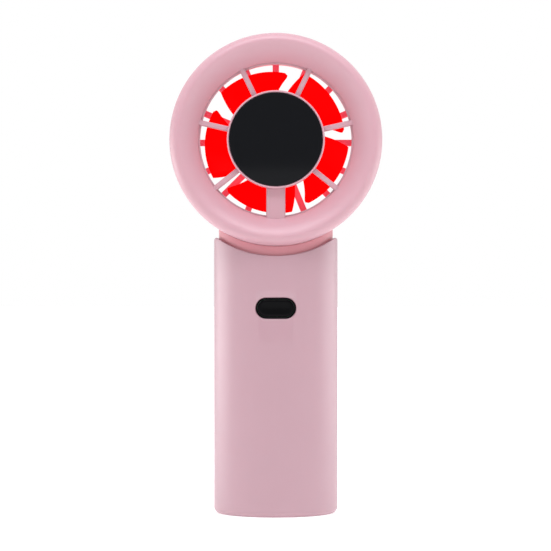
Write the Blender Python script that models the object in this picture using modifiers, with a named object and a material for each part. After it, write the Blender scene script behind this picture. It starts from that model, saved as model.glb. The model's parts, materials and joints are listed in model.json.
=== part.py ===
"""Handheld electric fan with a fixed round head, as an assembly of separate pieces.

The origin is the centre of the flat base. +Z is up, -Y is the side that blows air, and the
rotor turns about an axis along Y at HEAD_Z. Every size in this file is in millimetres. MM
turns it into metres where a mesh is made.
"""

import math

import bmesh
import bpy
from mathutils import Matrix, Vector

MM = 0.001
GAP = 0.3  # left between two pieces that touch or slide on each other
FINE = 40  # sides of the large round shapes
MID = 20  # sides of the small round shapes
COARSE = 8  # sides of screws and leads

# Grip: an upright oval tube, scooped out at the top around the head.
GRIP_HALF_WIDTH = 22.0
GRIP_HALF_DEPTH = 15.5
GRIP_WALL = 1.4
BASE_FILLET = 2.2
BASE_LIP = 2.9
GRIP_TOP_Z = 101.0  # before the scoop is cut
SCOOP_RADIUS = 36.0
SCOOP_LOWEST = 40.6  # how far the scoop's lowest point lies below the rotor axis

# Head: a round shell about the rotor axis.
HEAD_Z = 132.0
BEZEL_RADIUS = 37.2
BEZEL_CREST_RADIUS = 34.2
BEZEL_CREST_Y = -18.5
BEZEL_SIDE = (37.0, -6.0)  # radius and y where the outer side starts to round over
BEZEL_WIDEST_Y = -13.0
BEZEL_WALL = 1.4
LIP_RADIUS = 27.1
LIP_Y = -11.6
FUNNEL_BEND = (31.2, -17.9)  # the point that the front funnel's curve leans towards
SEAM_RADIUS = 36.6
SEAM_Y = -0.85
DUCT_RADII = (26.6, 27.95)  # at its front and at the rear guard
DUCT_FRONT_Y = -8.4
HOUSING_WALL = 1.4
REAR_CREST_RADIUS = 31.8
REAR_CREST_Y = 12.5
REAR_WIDEST_Y = 1.5
FUNNEL_Y = 5.0  # where the rear funnel meets the guard's rim
GUARD_SEAT_RADIUS = 29.6
GUARD_SEAT_Y = 1.6

# Front grille: six narrow arms and a wide one that carries the leads.
ARM_COUNT = 7
ARM_WIDTH = 1.85
WIDE_ARM_WIDTH = 6.7
ARM_FRONT_Y = -12.2
WIDE_ARM_FRONT_Y = -12.5
ARM_BACK_Y = -9.4
HUB_RADIUS = 17.1
HUB_FRONT_Y = -14.7
HUB_BACK_Y = -9.6
HUB_FLOOR = (-13.7, -12.3)
HUB_CUP_RADIUS = 15.6
PLATE_RADIUS = 16.3
SEAT_RADIUS = 28.9  # the ring that the arms end in, clamped between bezel and duct
SEAT_Y = (-10.6, -8.8)
FOOT_RADII = (25.0, 28.0)  # the arms' thinner ends, which run into the seat
LEAD_CHANNEL = 4.4

# Rear guard
RIB_COUNT = 16
RIB_WIDTH = 2.3
GUARD_Y = (1.95, 4.15)
GUARD_HUB_RADIUS = 11.0

# Impeller: angles are in degrees, anticlockwise from +X, seen from the front.
BLADE_COUNT = 5
BLADE_THICKNESS = 0.9
ROTOR_HUB_RADIUS = 16.2
ROTOR_HUB_WALL = 1.4
ROTOR_HUB_Y = (-8.5, 0.6)
LEADING_EDGE = (19.5, 6.0)  # at the hub, at the tip
TRAILING_EDGE = (79.4, 66.9)
TIP_RADIUS = (24.6, 25.7)  # at the leading edge, at the trailing edge
BLADE_Y = (-2.2, -8.2)

# Motor
SHAFT_RADIUS = 0.85
BEARING_TUBE = (2.6, 3.4)
BEARING_RADII = (1.05, 2.4)
STATOR_Y = (-7.2, -3.6)
STATOR_POLES = 6
TOOTH_WIDTH = 2.2
SHOE_RADII = (9.6, 10.9)
MAGNET_RADII = (11.4, 12.8)
CAN_RADII = (13.1, 14.5)
CAN_BORE_RADIUS = 1.1
DRIVER_BOARD_RADII = (9.4, 15.2)

# Neck: an oval plug in the grip, shaped at the top to the head.
NECK_HALF_WIDTH = GRIP_HALF_WIDTH - GRIP_WALL - GAP
NECK_HALF_DEPTH = GRIP_HALF_DEPTH - GRIP_WALL - GAP
NECK_WALL = 2.2
NECK_BOTTOM_Z = 86.0
NECK_TOP_RADIUS = 35.6  # where the neck ends behind the head's curved rear edge
NECK_SCREW_DROP = 38.1  # from the rotor axis down to the underside of the screw's head
LEAD_SLOT_HALF_WIDTH = 2.8

# Power button and its surround: a pill seen from the front, lying along X.
BUTTON_Z = 73.1
SURROUND_SIZE = (13.9, 7.1)
FLANGE_SIZE = (16.4, 9.6)
BUTTON_SIZE = (12.6, 5.8)
BUTTON_CLEARANCE = 0.2
PLUNGER_RADIUS = 1.5
SWITCH_HALF_WIDTH = 2.6

# Electronics and cell
BOARD_HALF_WIDTH = 10.6
BOARD_Y = (-9.6, -8.4)
BOARD_Z = (3.6, 85.4)
CELL_RADIUS = 9.15
CELL_Y = 2.2
CELL_Z = (15.2, 80.2)
CRADLE_RADII = (9.6, 11.0)
CRADLE_Z = (8.8, 85.4)
PORT_Y = -6.8
PORT_SIZE = (9.7, 4.0)
SOCKET_SIZE = (8.9, 3.2)
SOCKET_WALL = 0.3
LEAD_RADIUS = 0.45

# Screws: where they stand, then (radius, length) of the head and of the shank.
HOUSING_SCREW_RADIUS = 32.3
HOUSING_SCREW_ANGLES = (45, 135, 225, 315)
HOUSING_SCREW = ((1.6, 1.2), (0.75, 9.8))
MOTOR_SCREW_RADIUS = 6.3
MOTOR_SCREW_ANGLES = (30, 150, 270)
MOTOR_SCREW = ((1.5, 0.9), (0.75, 2.5))
NECK_SCREWS = ((-11.0, 5.0), (11.0, 5.0))  # x, y
NECK_SCREW = ((1.9, 1.2), (0.85, 5.5))
BASE_SCREWS = ((-13.0, 2.0), (13.0, 2.0))  # x, y
BASE_SCREW = ((1.8, 0.8), (0.8, 7.6))
BOARD_SCREWS = ((6.2, 11.3), (-6.2, 84.0))  # x, z
BOARD_SCREW = ((1.5, 0.9), (0.75, 4.6))
PILOT_RADIUS = 0.95  # a hole that a screw holds in
LOOSE_RADIUS = 1.05  # a hole that a screw passes through

MATERIALS = {
    "pink_plastic": ((0.66, 0.38, 0.43), 0.38, 0.0),
    "rose_plastic": ((0.62, 0.16, 0.21), 0.40, 0.0),
    "red_clear_plastic": ((0.95, 0.01, 0.01), 0.25, 0.0),
    "black_gloss": ((0.011, 0.012, 0.014), 0.12, 0.0),
    "black_plastic": ((0.02, 0.02, 0.022), 0.45, 0.0),
    "white_plastic": ((0.75, 0.75, 0.72), 0.45, 0.0),
    "board_green": ((0.02, 0.16, 0.07), 0.40, 0.0),
    "steel": ((0.56, 0.56, 0.55), 0.30, 1.0),
    "laminated_steel": ((0.32, 0.32, 0.33), 0.45, 1.0),
    "brass": ((0.72, 0.52, 0.22), 0.28, 1.0),
    "copper": ((0.72, 0.30, 0.13), 0.35, 1.0),
    "magnet": ((0.05, 0.05, 0.052), 0.55, 0.0),
    "cell_wrap": ((0.05, 0.22, 0.42), 0.40, 0.0),
    "nickel": ((0.62, 0.60, 0.55), 0.32, 1.0),
    "foam": ((0.06, 0.06, 0.065), 0.90, 0.0),
    "lead_red": ((0.55, 0.02, 0.02), 0.45, 0.0),
    "lead_black": ((0.02, 0.02, 0.02), 0.45, 0.0),
    "lead_yellow": ((0.75, 0.55, 0.04), 0.45, 0.0),
}


def clear_scene():
    """Remove whatever the scene holds."""
    for thing in list(bpy.data.objects):
        bpy.data.objects.remove(thing, do_unlink=True)


clear_scene()
PARTS = bpy.data.collections.new("handheld_fan")
CUTTERS = bpy.data.collections.new("cutters")
bpy.context.scene.collection.children.link(PARTS)
bpy.context.scene.collection.children.link(CUTTERS)


def material(name):
    """The named material, made the first time it is asked for."""
    made = bpy.data.materials.get(name)
    if made:
        return made
    colour, roughness, metallic = MATERIALS[name]
    made = bpy.data.materials.new(name)
    made.use_nodes = True
    shader = made.node_tree.nodes["Principled BSDF"]
    shader.inputs["Base Color"].default_value = (*colour, 1.0)
    shader.inputs["Roughness"].default_value = roughness
    shader.inputs["Metallic"].default_value = metallic
    made.diffuse_color = (*colour, 1.0)
    return made


def add_object(name, mesh, look=None):
    """Link a mesh as a part when it has a look, and as a cutter when it has none."""
    mesh.shade_smooth()
    mesh.set_sharp_from_angle(angle=math.radians(35))
    thing = bpy.data.objects.new(name, mesh)
    if look:
        mesh.materials.append(material(look))
        PARTS.objects.link(thing)
    else:
        CUTTERS.objects.link(thing)
        thing.hide_render = True
        thing.display_type = "WIRE"
    return thing


def mesh_from(bm, name):
    """Scale a bmesh from millimetres and hand it over as a mesh."""
    bmesh.ops.scale(bm, vec=(MM, MM, MM), verts=bm.verts)
    mesh = bpy.data.meshes.new(name)
    bm.to_mesh(mesh)
    bm.free()
    return mesh


def place(thing, at, about_y=False):
    """Put an object at a point; about_y lays its own Z axis along world +Y."""
    thing.location = Vector(at) * MM
    thing.rotation_euler = (-math.pi / 2 if about_y else 0.0, 0.0, 0.0)
    return thing


def on_head(radius, degrees, y=0.0):
    """The point at a radius and an angle about the rotor axis."""
    angle = math.radians(degrees)
    return (radius * math.cos(angle), y, HEAD_Z + radius * math.sin(angle))


def block(name, x, y, z, look=None):
    """A box between the two values given for each axis."""
    bm = bmesh.new()
    bmesh.ops.create_cube(bm, size=1.0)
    size = Vector((x[1] - x[0], y[1] - y[0], z[1] - z[0]))
    middle = Vector((x[0] + x[1], y[0] + y[1], z[0] + z[1])) / 2
    bmesh.ops.scale(bm, vec=size, verts=bm.verts)
    return place(add_object(name, mesh_from(bm, name), look), middle)


def cylinder(name, radius, ends, at=(0, 0), along_y=True, look=None, sides=MID):
    """A cylinder along Y at (x, z), or along Z at (x, y)."""
    bm = bmesh.new()
    length = ends[1] - ends[0]
    bmesh.ops.create_cone(
        bm, cap_ends=True, segments=sides, radius1=radius, radius2=radius, depth=length
    )
    middle = (ends[0] + ends[1]) / 2
    centre = (at[0], middle, at[1]) if along_y else (at[0], at[1], middle)
    return place(add_object(name, mesh_from(bm, name), look), centre, about_y=along_y)


def oval_prism(name, half_width, half_depth, z, look=None):
    """An upright prism of oval section."""
    bm = bmesh.new()
    bmesh.ops.create_cone(
        bm, cap_ends=True, segments=FINE, radius1=1.0, radius2=1.0, depth=z[1] - z[0]
    )
    bmesh.ops.scale(bm, vec=(half_width, half_depth, 1.0), verts=bm.verts)
    return place(add_object(name, mesh_from(bm, name), look), (0, 0, (z[0] + z[1]) / 2))


def pill_prism(name, size, y, look=None):
    """A prism along Y at the button, whose section is a pill lying along X."""
    length, height = size
    bm = bmesh.new()
    bmesh.ops.create_cone(
        bm,
        cap_ends=True,
        segments=MID,
        radius1=height / 2,
        radius2=height / 2,
        depth=y[1] - y[0],
        matrix=Matrix.Rotation(math.pi / MID, 4, "Z"),
    )
    for vert in bm.verts:
        vert.co.x += math.copysign((length - height) / 2, vert.co.x)
    middle = (0, (y[0] + y[1]) / 2, BUTTON_Z)
    return place(add_object(name, mesh_from(bm, name), look), middle, about_y=True)


def turned(name, profile, look=None, steps=FINE, at=None, closed=True, along_y=True):
    """A turned shape. The profile is (radius, height) and runs down its outer side.

    Height is world Y for pieces about the rotor axis, and world Z for upright ones.
    """
    mesh = bpy.data.meshes.new(name)
    points = [(radius * MM, 0.0, height * MM) for radius, height in profile]
    edges = [(i, i + 1) for i in range(len(points) - 1)]
    if closed:
        edges.append((len(points) - 1, 0))
    mesh.from_pydata(points, edges, [])
    thing = add_object(name, mesh, look)
    screw = thing.modifiers.new("turn", "SCREW")
    screw.axis = "Z"
    screw.steps = screw.render_steps = steps
    screw.use_merge_vertices = True
    screw.merge_threshold = 0.00001
    screw.use_smooth_shade = True
    return place(thing, at or (0, 0, HEAD_Z), about_y=along_y)


def ring(name, radii, ends, look=None, steps=MID, at=None, along_y=True):
    """A turned ring of rectangular section, between two radii and two heights."""
    inner, outer = radii
    low, high = ends
    profile = [(inner, high), (outer, high), (outer, low), (inner, low)]
    return turned(name, profile, look, steps, at, along_y=along_y)


def quarter(centre, radii, start, end, steps):
    """Points on an ellipse about (radius, height), from one angle to another."""
    points = []
    for i in range(steps + 1):
        angle = math.radians(start + (end - start) * i / steps)
        points.append(
            (centre[0] + radii[0] * math.cos(angle), centre[1] + radii[1] * math.sin(angle))
        )
    return points


def bend(start, middle, end, steps):
    """Points after the start of a curve that leans towards its middle point."""
    points = []
    for i in range(1, steps + 1):
        t = i / steps
        shares = ((1 - t) ** 2, 2 * t * (1 - t), t**2)
        points.append(tuple(
            sum(share * point[axis] for share, point in zip(shares, (start, middle, end)))
            for axis in (0, 1)
        ))
    return points


def thicken(thing, thickness, offset=-1.0):
    """Solidify an open surface."""
    wall = thing.modifiers.new("wall", "SOLIDIFY")
    wall.thickness = thickness * MM
    wall.offset = offset
    wall.use_even_offset = True
    return thing


def boolean(thing, operation, *others):
    """Add an exact Boolean for each of the other objects."""
    for other in others:
        step = thing.modifiers.new(other.name, "BOOLEAN")
        step.operation = operation
        step.solver = "EXACT"
        step.object = other
    return thing


def cut(thing, *others):
    return boolean(thing, "DIFFERENCE", *others)


def join(thing, *others):
    return boolean(thing, "UNION", *others)


def group(name, things):
    """Several cutter shapes that don't touch, as one cutter with its own modifiers applied."""
    depsgraph = bpy.context.evaluated_depsgraph_get()
    bm = bmesh.new()
    for thing in things:
        piece = bpy.data.meshes.new_from_object(thing.evaluated_get(depsgraph))
        piece.transform(thing.matrix_world)
        bm.from_mesh(piece)
        bpy.data.meshes.remove(piece)
    for thing in things:
        bpy.data.objects.remove(thing, do_unlink=True)
    mesh = bpy.data.meshes.new(name)
    bm.to_mesh(mesh)
    bm.free()
    return add_object(name, mesh)


def lead(name, points, look):
    """A wire through the given points, smoothed by a Catmull-Rom curve."""
    smooth = []
    ends = [points[0], *points, points[-1]]
    for i in range(1, len(ends) - 2):
        a, b, c, d = (Vector(p) for p in ends[i - 1 : i + 3])
        for step in range(2):
            t = step / 2
            smooth.append(
                0.5
                * (2 * b + (c - a) * t + (2 * a - 5 * b + 4 * c - d) * t**2
                   + (3 * b - a - 3 * c + d) * t**3)
            )
    smooth.append(Vector(points[-1]))
    curve = bpy.data.curves.new(name, "CURVE")
    curve.dimensions = "3D"
    curve.bevel_depth = LEAD_RADIUS * MM
    curve.bevel_resolution = 2
    curve.use_fill_caps = True
    spline = curve.splines.new("POLY")
    spline.points.add(len(smooth) - 1)
    for point, place_at in zip(spline.points, smooth):
        point.co = (*(place_at * MM), 1.0)
    curve.materials.append(material(look))
    PARTS.objects.link(bpy.data.objects.new(name, curve))


def spread(count, start=0.0):
    """Angles spaced evenly round a circle."""
    return [start + 360 * i / count for i in range(count)]


def screw(name, at, direction, size):
    """A pan-head screw with the underside of its head at a point, and its tip along a direction."""
    (head_radius, head_height), (radius, length) = size
    profile = [
        (0.0, head_height),
        (head_radius * 0.8, head_height),
        (head_radius, 0.0),
        (radius, 0.0),
        (radius, 0.6 - length),
        (0.0, -length),
    ]
    thing = turned(name, profile, "steel", COARSE, at, closed=False, along_y=False)
    turn = Vector((0, 0, -1)).rotation_difference(Vector(direction))
    thing.rotation_euler = turn.to_euler()


def posts(name, spots, radius, ends, along_y=True, sides=COARSE):
    """A cylinder at each spot, as one cutter."""
    made = [
        cylinder(f"{name}_{i}", radius, ends, spot, along_y, sides=sides)
        for i, spot in enumerate(spots)
    ]
    bpy.context.view_layer.update()
    return group(name, made)


def swing(thing, degrees):
    """Turn an object about the rotor axis, anticlockwise seen from the front."""
    turn = Matrix.Rotation(-math.radians(degrees), 4, "Y")
    thing.matrix_world = Matrix.Translation((0, 0, HEAD_Z * MM)) @ turn @ thing.matrix_basis


def arms(name, angles, width, radii, y):
    """Straight radial bars about the rotor axis, as one cutter."""
    bars = []
    for i, degrees in enumerate(angles):
        bars.append(block(f"{name}_{i}", radii, y, (-width / 2, width / 2)))
        swing(bars[-1], degrees)
    bpy.context.view_layer.update()
    return group(name, bars)


# ---------------------------------------------------------------------------
# Head shell
# ---------------------------------------------------------------------------


def bezel_outline():
    """The bezel's outer surface, from the seam over the crest to the inner lip."""
    outer = quarter(
        (BEZEL_CREST_RADIUS, BEZEL_WIDEST_Y),
        (BEZEL_RADIUS - BEZEL_CREST_RADIUS, BEZEL_WIDEST_Y - BEZEL_CREST_Y),
        0,
        -90,
        4,
    )
    crest = (BEZEL_CREST_RADIUS, BEZEL_CREST_Y)
    funnel = bend(crest, FUNNEL_BEND, (LIP_RADIUS, LIP_Y), 4)
    return [(SEAM_RADIUS, SEAM_Y - GAP / 2), BEZEL_SIDE, *outer, *funnel]


def housing_outline():
    """The rear housing's outer surface, from the rear crest to the seam."""
    crest = quarter(
        (REAR_CREST_RADIUS, REAR_WIDEST_Y),
        (SEAM_RADIUS - REAR_CREST_RADIUS, REAR_CREST_Y - REAR_WIDEST_Y),
        90,
        0,
        3,
    )
    return [*crest, (SEAM_RADIUS, SEAM_Y + GAP / 2)]


def head_envelope(name, offset):
    """A solid that is the head's outer form grown by an offset, to shape the neck with."""
    front = bezel_outline()[:6]
    outline = [(0.0, REAR_CREST_Y + offset)]
    outline += [(radius + offset, y) for radius, y in housing_outline()]
    outline += [(radius + offset, y) for radius, y in front]
    outline += [(0.0, BEZEL_CREST_Y - offset)]
    return turned(name, outline, closed=False)


def housing_posts(name, radius, ends, sides=12):
    """A cylinder at each housing screw."""
    spots = [on_head(HOUSING_SCREW_RADIUS, degrees)[::2] for degrees in HOUSING_SCREW_ANGLES]
    return posts(name, spots, radius, ends, sides=sides)


def neck_screw_holes(name):
    """Clearance holes for the two screws that pull the neck to the head."""
    return posts(name, NECK_SCREWS, LOOSE_RADIUS, (HEAD_Z - 42, HEAD_Z - 30.5), along_y=False)


def lead_slot(name):
    """The slot that lets the motor leads through the neck and the head's wall."""
    return block(name, (-LEAD_SLOT_HALF_WIDTH, LEAD_SLOT_HALF_WIDTH), (-10.5, -5.4),
                 (HEAD_Z - 42, HEAD_Z - 33.5))


def make_head():
    bezel = turned("front_bezel", bezel_outline(), "pink_plastic", closed=False)
    thicken(bezel, BEZEL_WALL)
    join(bezel, housing_posts("bezel_bosses", 2.2, (-15.1, -1.1)))
    cut(bezel, housing_posts("bezel_pilot_holes", PILOT_RADIUS, (-9.0, 0.0), COARSE))
    cut(bezel, lead_slot("bezel_lead_slot"))

    funnel = quarter(
        (REAR_CREST_RADIUS, FUNNEL_Y),
        (REAR_CREST_RADIUS - GUARD_SEAT_RADIUS, REAR_CREST_Y - FUNNEL_Y),
        180,
        90,
        3,
    )
    outline = [
        (DUCT_RADII[0], DUCT_FRONT_Y),
        (DUCT_RADII[1], GUARD_SEAT_Y),
        (GUARD_SEAT_RADIUS, GUARD_SEAT_Y),
        *funnel,
        *housing_outline()[1:],
    ]
    housing = turned("rear_housing", outline, "pink_plastic", closed=False)
    thicken(housing, HOUSING_WALL)
    join(housing, housing_posts("housing_tunnels", 2.5, (-0.6, 7.5)))
    cut(housing, housing_posts("housing_counterbores", 1.95, (1.2, 14.0)))
    cut(housing, housing_posts("housing_screw_holes", 1.0, (-2.0, 2.0), COARSE))
    cut(housing, neck_screw_holes("housing_neck_holes"))

    for number, degrees in enumerate(HOUSING_SCREW_ANGLES, 1):
        at = on_head(HOUSING_SCREW_RADIUS, degrees, 1.4)
        screw(f"housing_screw_{number}", at, (0, -1, 0), HOUSING_SCREW)

    guard = ring("rear_guard", (DUCT_RADII[1], GUARD_SEAT_RADIUS - GAP), GUARD_Y,
                 "rose_plastic", FINE)
    join(guard, arms("guard_ribs", spread(RIB_COUNT), RIB_WIDTH,
                     (GUARD_HUB_RADIUS - 1.0, DUCT_RADII[1] + 0.6),
                     (GUARD_Y[0] + 0.05, GUARD_Y[1] - 0.1)))
    join(guard, cylinder("guard_hub", GUARD_HUB_RADIUS, GUARD_Y, (0, HEAD_Z), sides=FINE))


# ---------------------------------------------------------------------------
# Front grille and motor
# ---------------------------------------------------------------------------


def make_grille():
    outline = [
        (0.0, HUB_FLOOR[1]),
        (HUB_CUP_RADIUS, HUB_FLOOR[1]),
        (HUB_CUP_RADIUS, HUB_BACK_Y),
        (HUB_RADIUS, HUB_BACK_Y),
        (HUB_RADIUS, HUB_FRONT_Y),
        (PLATE_RADIUS + GAP, HUB_FRONT_Y),
        (PLATE_RADIUS + GAP, HUB_FLOOR[0]),
        (0.0, HUB_FLOOR[0]),
    ]
    grille = turned("front_grille", outline, "pink_plastic", closed=False)

    seat = ring("grille_seat", (DUCT_RADII[0], SEAT_RADIUS), SEAT_Y, steps=FINE)
    narrow_angles = spread(ARM_COUNT, 270.0)[1:]
    narrow = arms("grille_arms", narrow_angles, ARM_WIDTH, (16.4, 26.8),
                  (ARM_FRONT_Y, ARM_BACK_Y))
    feet = arms("grille_feet", narrow_angles, ARM_WIDTH - 0.1, FOOT_RADII,
                (SEAT_Y[0] + 0.3, SEAT_Y[1] - 0.3))
    wide_x = (-WIDE_ARM_WIDTH / 2, WIDE_ARM_WIDTH / 2)
    wide = block("wide_arm", wide_x, (WIDE_ARM_FRONT_Y, ARM_BACK_Y + 0.05),
                 (HEAD_Z - 26.7, HEAD_Z - 16.5))
    wide_foot = block("wide_arm_foot", wide_x, (SEAT_Y[0] + 0.35, SEAT_Y[1] - 0.35),
                      (HEAD_Z - FOOT_RADII[1] - 0.1, HEAD_Z - FOOT_RADII[0] - 0.1))
    join(grille, seat, narrow, feet, wide, wide_foot)
    cut(grille, block("lead_channel", (-LEAD_CHANNEL / 2, LEAD_CHANNEL / 2), (-11.4, -8.0),
                      (HEAD_Z - 31.0, HEAD_Z - 14.6)))
    cut(grille, motor_screw_posts("hub_pilot_holes", (-13.35, -12.0)))

    cylinder("hub_plate", PLATE_RADIUS, (HUB_FRONT_Y, HUB_FLOOR[0] - GAP), (0, HEAD_Z),
             look="black_gloss", sides=FINE)


def motor_screw_posts(name, ends):
    """A hole at each motor screw."""
    spots = [on_head(MOTOR_SCREW_RADIUS, degrees)[::2] for degrees in MOTOR_SCREW_ANGLES]
    return posts(name, spots, PILOT_RADIUS, ends)


def make_stator():
    core = ring("stator_core", (BEARING_TUBE[1] + GAP, 5.2), STATOR_Y, "laminated_steel")
    teeth = arms("stator_teeth", spread(STATOR_POLES), TOOTH_WIDTH, (4.7, 10.0),
                 (STATOR_Y[0] + 0.05, STATOR_Y[1] - 0.05))
    shoes = ring("stator_shoes", SHOE_RADII, STATOR_Y, steps=24)
    cut(shoes, arms("stator_slots", spread(STATOR_POLES, 30.0), 2.0, (9.0, 12.0), (-8, -3)))
    join(core, teeth, shoes)

    for number in range(1, STATOR_POLES + 1):
        name = f"stator_winding_{number}"
        coil = block(name, (5.7, 9.2), (STATOR_Y[0] - 0.9, STATOR_Y[1] + 0.9), (-2.3, 2.3),
                     "copper")
        bore = block(f"{name}_bore", (5.0, 10.0), (STATOR_Y[0] - 0.25, STATOR_Y[1] + 0.25),
                     (-1.4, 1.4))
        for thing in (coil, bore):
            swing(thing, 360 * (number - 1) / STATOR_POLES)
        cut(coil, bore)


def make_motor():
    tube_inner, tube_outer = BEARING_TUBE
    profile = [
        (tube_inner, -2.5),
        (tube_outer, -2.5),
        (tube_outer, -10.9),
        (9.0, -10.9),
        (9.0, -12.0),
        (tube_inner, -12.0),
    ]
    mount = turned("motor_mount", profile, "brass", MID)
    cut(mount, motor_screw_posts("mount_screw_holes", (-13.0, -10.0)))
    for number, degrees in enumerate(MOTOR_SCREW_ANGLES, 1):
        at = on_head(MOTOR_SCREW_RADIUS, degrees, -10.65)
        screw(f"motor_screw_{number}", at, (0, -1, 0), MOTOR_SCREW)

    ring("motor_driver_board", DRIVER_BOARD_RADII, (-11.6, -10.7), "board_green")
    ring("front_bearing", BEARING_RADII, (-11.2, -9.2), "steel")
    ring("rear_bearing", BEARING_RADII, (-4.8, -2.8), "steel")
    make_stator()

    inner, outer = CAN_RADII
    can = [(CAN_BORE_RADIUS, -1.1), (outer, -1.1), (outer, -8.2), (inner, -8.2), (inner, -2.0),
           (CAN_BORE_RADIUS, -2.0)]
    turned("rotor_can", can, "steel", MID)
    ring("rotor_magnet", MAGNET_RADII, (-8.0, -2.4), "magnet", MID)
    shaft = [(0.0, -0.3), (0.6, -0.3), (SHAFT_RADIUS, -0.6), (SHAFT_RADIUS, -11.8),
             (0.6, -12.0), (0.0, -12.0)]
    turned("motor_shaft", shaft, "steel", 16, closed=False)
    ring("shaft_clip", (SHAFT_RADIUS + 0.15, 2.0), (-11.75, -11.45), "steel", 16)


def make_impeller():
    inner = ROTOR_HUB_RADIUS - ROTOR_HUB_WALL
    front, rear = ROTOR_HUB_Y
    profile = [
        (CAN_BORE_RADIUS, rear),
        (ROTOR_HUB_RADIUS - 1.2, rear),
        (ROTOR_HUB_RADIUS, rear - 1.2),
        (ROTOR_HUB_RADIUS, front),
        (inner, front),
        (inner, -0.8),
        (CAN_BORE_RADIUS, -0.8),
    ]
    impeller = turned("impeller", profile, "red_clear_plastic")

    bm = bmesh.new()
    for number in range(BLADE_COUNT):
        grid = bmesh.ops.create_grid(bm, x_segments=5, y_segments=3, size=0.5)
        for vert in grid["verts"]:
            vert.co = blade_point(vert.co.x + 0.5, vert.co.y + 0.5, number)
    blades = add_object("blades", mesh_from(bm, "blades"))
    place(blades, (0, 0, HEAD_Z), about_y=True)
    thicken(blades, BLADE_THICKNESS, 0.0)
    join(impeller, blades)


def blade_point(chord, span, number):
    """A point of a blade: chord runs from its leading to its trailing edge, span outwards.

    The point is in the turned pieces' own axes, where height is world Y and the second
    axis points down.
    """
    root = ROTOR_HUB_RADIUS - 0.9
    tip = TIP_RADIUS[0] + (TIP_RADIUS[1] - TIP_RADIUS[0]) * chord
    radius = root + (tip - root) * span
    lead_angle = LEADING_EDGE[0] + (LEADING_EDGE[1] - LEADING_EDGE[0]) * span
    trail_angle = TRAILING_EDGE[0] + (TRAILING_EDGE[1] - TRAILING_EDGE[0]) * span
    degrees = lead_angle + (trail_angle - lead_angle) * chord + 360 * number / BLADE_COUNT
    camber = 0.8 * math.sin(math.pi * chord)
    height = BLADE_Y[0] + (BLADE_Y[1] - BLADE_Y[0]) * chord + camber
    angle = math.radians(degrees)
    return Vector((radius * math.cos(angle), -radius * math.sin(angle), height))


# ---------------------------------------------------------------------------
# Grip, neck and base
# ---------------------------------------------------------------------------


def oval_tube(name, rings, look):
    """An open oval surface through rings given as (inset from the grip's outline, z)."""
    bm = bmesh.new()
    inset, z = rings[0]
    bmesh.ops.create_circle(bm, cap_ends=False, segments=FINE, radius=1.0)
    for vert in bm.verts:
        vert.co = Vector((vert.co.x * (GRIP_HALF_WIDTH - inset),
                          vert.co.y * (GRIP_HALF_DEPTH - inset), z))
    edges = list(bm.edges)
    for next_inset, next_z in rings[1:]:
        grown = bmesh.ops.extrude_edge_only(bm, edges=edges)["geom"]
        edges = [item for item in grown if isinstance(item, bmesh.types.BMEdge)]
        for vert in (item for item in grown if isinstance(item, bmesh.types.BMVert)):
            vert.co.x *= (GRIP_HALF_WIDTH - next_inset) / (GRIP_HALF_WIDTH - inset)
            vert.co.y *= (GRIP_HALF_DEPTH - next_inset) / (GRIP_HALF_DEPTH - inset)
            vert.co.z = next_z
        inset = next_inset
    bmesh.ops.recalc_face_normals(bm, faces=bm.faces)
    return add_object(name, mesh_from(bm, name), look)


def make_grip():
    fillet = [
        (BASE_FILLET * (1 - math.cos(math.radians(angle))),
         BASE_FILLET * (1 - math.sin(math.radians(angle))))
        for angle in (90, 60, 30, 0)
    ]
    rings = [(BASE_LIP, 0.0), *fillet, (0.0, GRIP_TOP_Z)]
    sleeve = oval_tube("grip_sleeve", rings, "pink_plastic")
    thicken(sleeve, GRIP_WALL)
    scoop_z = HEAD_Z - SCOOP_LOWEST + SCOOP_RADIUS
    cut(sleeve, cylinder("scoop", SCOOP_RADIUS, (-30, 30), (0, scoop_z), sides=64))
    hole = (SURROUND_SIZE[0] + 2 * GAP, SURROUND_SIZE[1] + 2 * GAP)
    cut(sleeve, pill_prism("button_hole", hole, (-18, -8)))


def make_neck():
    neck = oval_prism("neck_collar", NECK_HALF_WIDTH, NECK_HALF_DEPTH,
                      (NECK_BOTTOM_Z, HEAD_Z - 29), "rose_plastic")
    hollow = oval_prism("neck_hollow", NECK_HALF_WIDTH - NECK_WALL,
                        NECK_HALF_DEPTH - NECK_WALL, (NECK_BOTTOM_Z - 6, HEAD_Z - 22))
    cut(hollow, head_envelope("neck_saddle", GAP + NECK_WALL))
    cut(neck, head_envelope("neck_seat", GAP), hollow)
    cut(neck, cylinder("neck_top", NECK_TOP_RADIUS, (-20, 20), (0, HEAD_Z), sides=64))
    cut(neck, lead_slot("neck_lead_slot"))
    cut(neck, neck_screw_holes("neck_screw_holes"))
    for number, spot in enumerate(NECK_SCREWS, 1):
        screw(f"neck_screw_{number}", (*spot, HEAD_Z - NECK_SCREW_DROP), (0, 0, 1), NECK_SCREW)


def make_base():
    inset = BASE_LIP + GAP
    cap = oval_prism("base_cap", GRIP_HALF_WIDTH - inset, GRIP_HALF_DEPTH - inset, (0.0, 2.0),
                     "pink_plastic")
    port = place(pill_prism("port_hole", PORT_SIZE, (-3.0, 3.0)), (0, PORT_Y, 1.0))
    holes = posts("base_holes", BASE_SCREWS, LOOSE_RADIUS, (-1, 3), along_y=False)
    sinks = posts("base_sinks", BASE_SCREWS, 2.1, (-1, 1.2), along_y=False, sides=16)
    cut(cap, port, holes, sinks)
    for number, spot in enumerate(BASE_SCREWS, 1):
        screw(f"base_screw_{number}", (*spot, 1.0), (0, 0, 1), BASE_SCREW)


# ---------------------------------------------------------------------------
# Button, electronics and cell
# ---------------------------------------------------------------------------


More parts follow.
